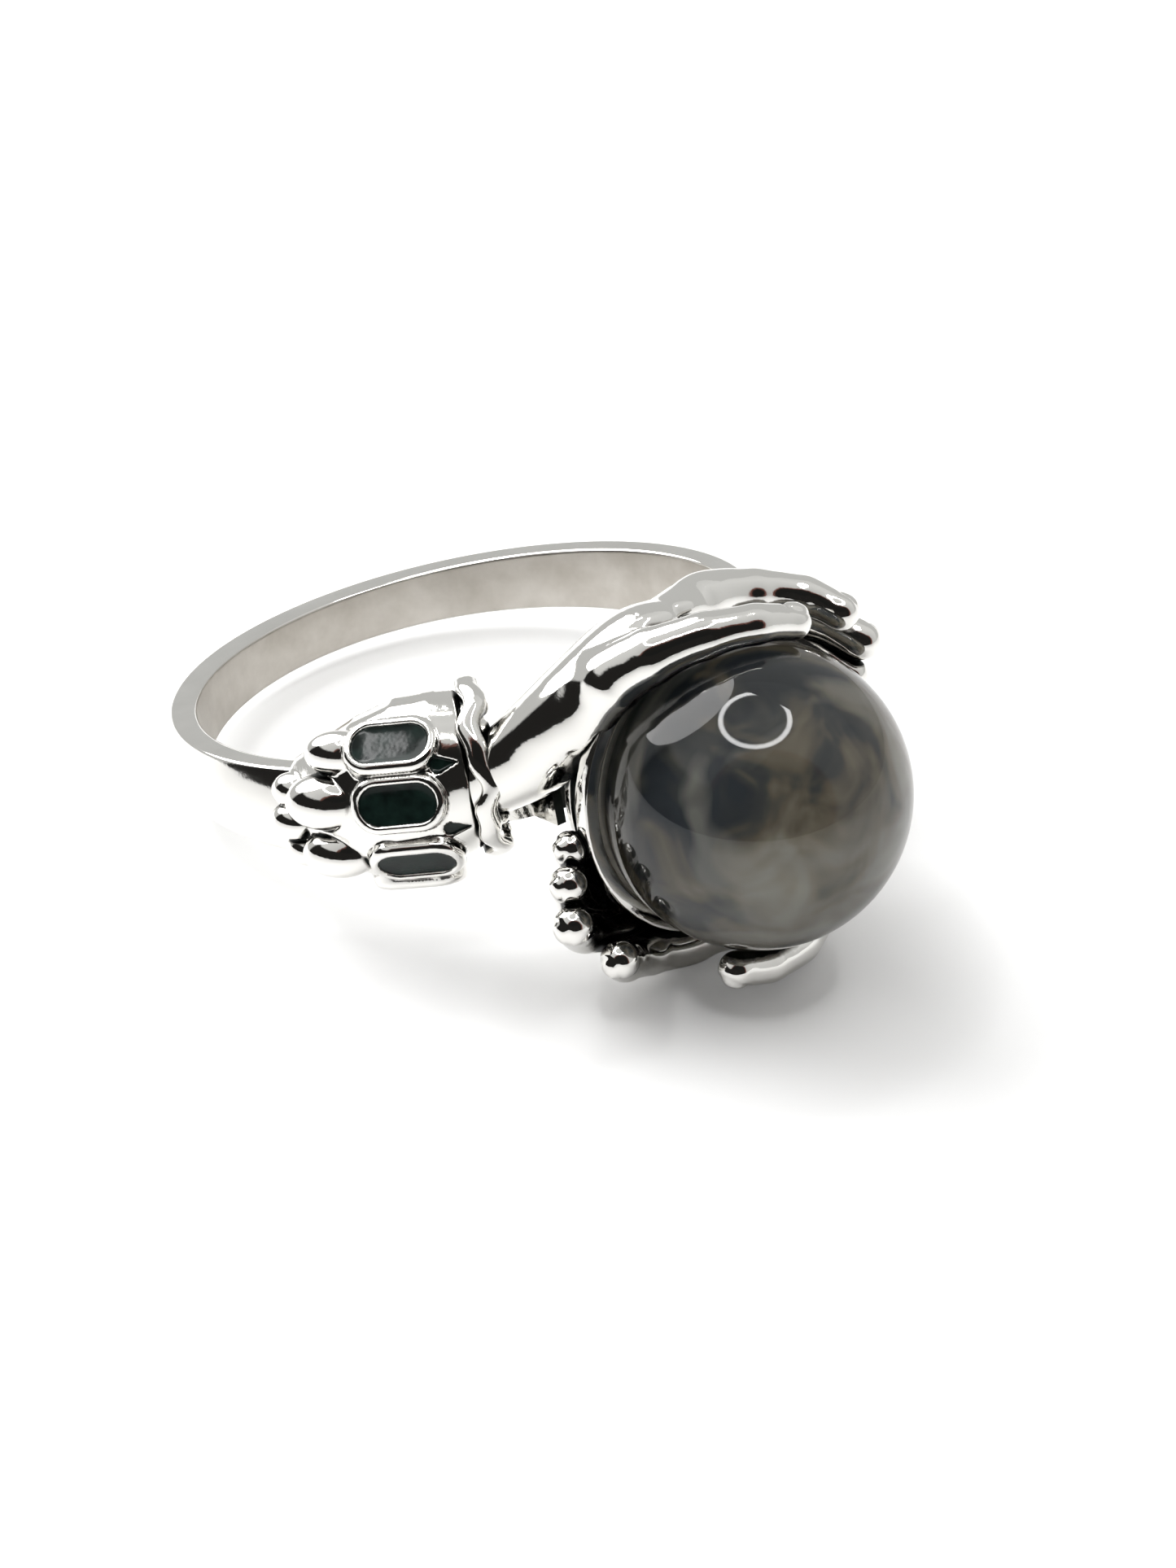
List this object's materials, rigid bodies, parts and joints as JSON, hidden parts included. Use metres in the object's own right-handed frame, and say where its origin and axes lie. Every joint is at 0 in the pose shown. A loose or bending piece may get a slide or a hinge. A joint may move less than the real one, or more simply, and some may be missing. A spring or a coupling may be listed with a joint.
{
  "type": "crystal ball ring",
  "caption": "Finger ring: two hands reach from enamelled petal cuffs and clasp a smoky crystal ball in a cup.",
  "frame": {"origin": "middle of the finger hole, on its axis and halfway along the band's width", "axes": "+Z along the finger hole, on the side of the left cuff's hand; the ball sits towards -Y; +X is to the right seen from the ball"},
  "size_m": [0.0224, 0.0325, 0.0132],
  "materials": {
    "silver": "polished silver plate with blackened hollows",
    "enamel": "black-green cold enamel, glossy",
    "crystal": "polished smoky stone, cloudy inside",
    "cement": "clear epoxy"
  },
  "bodies": {
    "root": {"shank": "silver", "gallery_bar": "silver", "bezel_cup": "silver", "ball_cement": "cement", "crystal_ball": "crystal", "left_cuff": "silver", "left_collar": "silver", "left_hand": "silver", "left_enamel_drops": "enamel", "left_enamel_top": "enamel", "left_enamel_middle": "enamel", "left_enamel_bottom": "enamel", "left_enamel_under": "enamel", "right_cuff": "silver", "right_collar": "silver", "right_hand": "silver", "right_enamel_drops": "enamel", "right_enamel_top": "enamel", "right_enamel_middle": "enamel", "right_enamel_bottom": "enamel", "right_enamel_under": "enamel"}
  },
  "joints": []
}
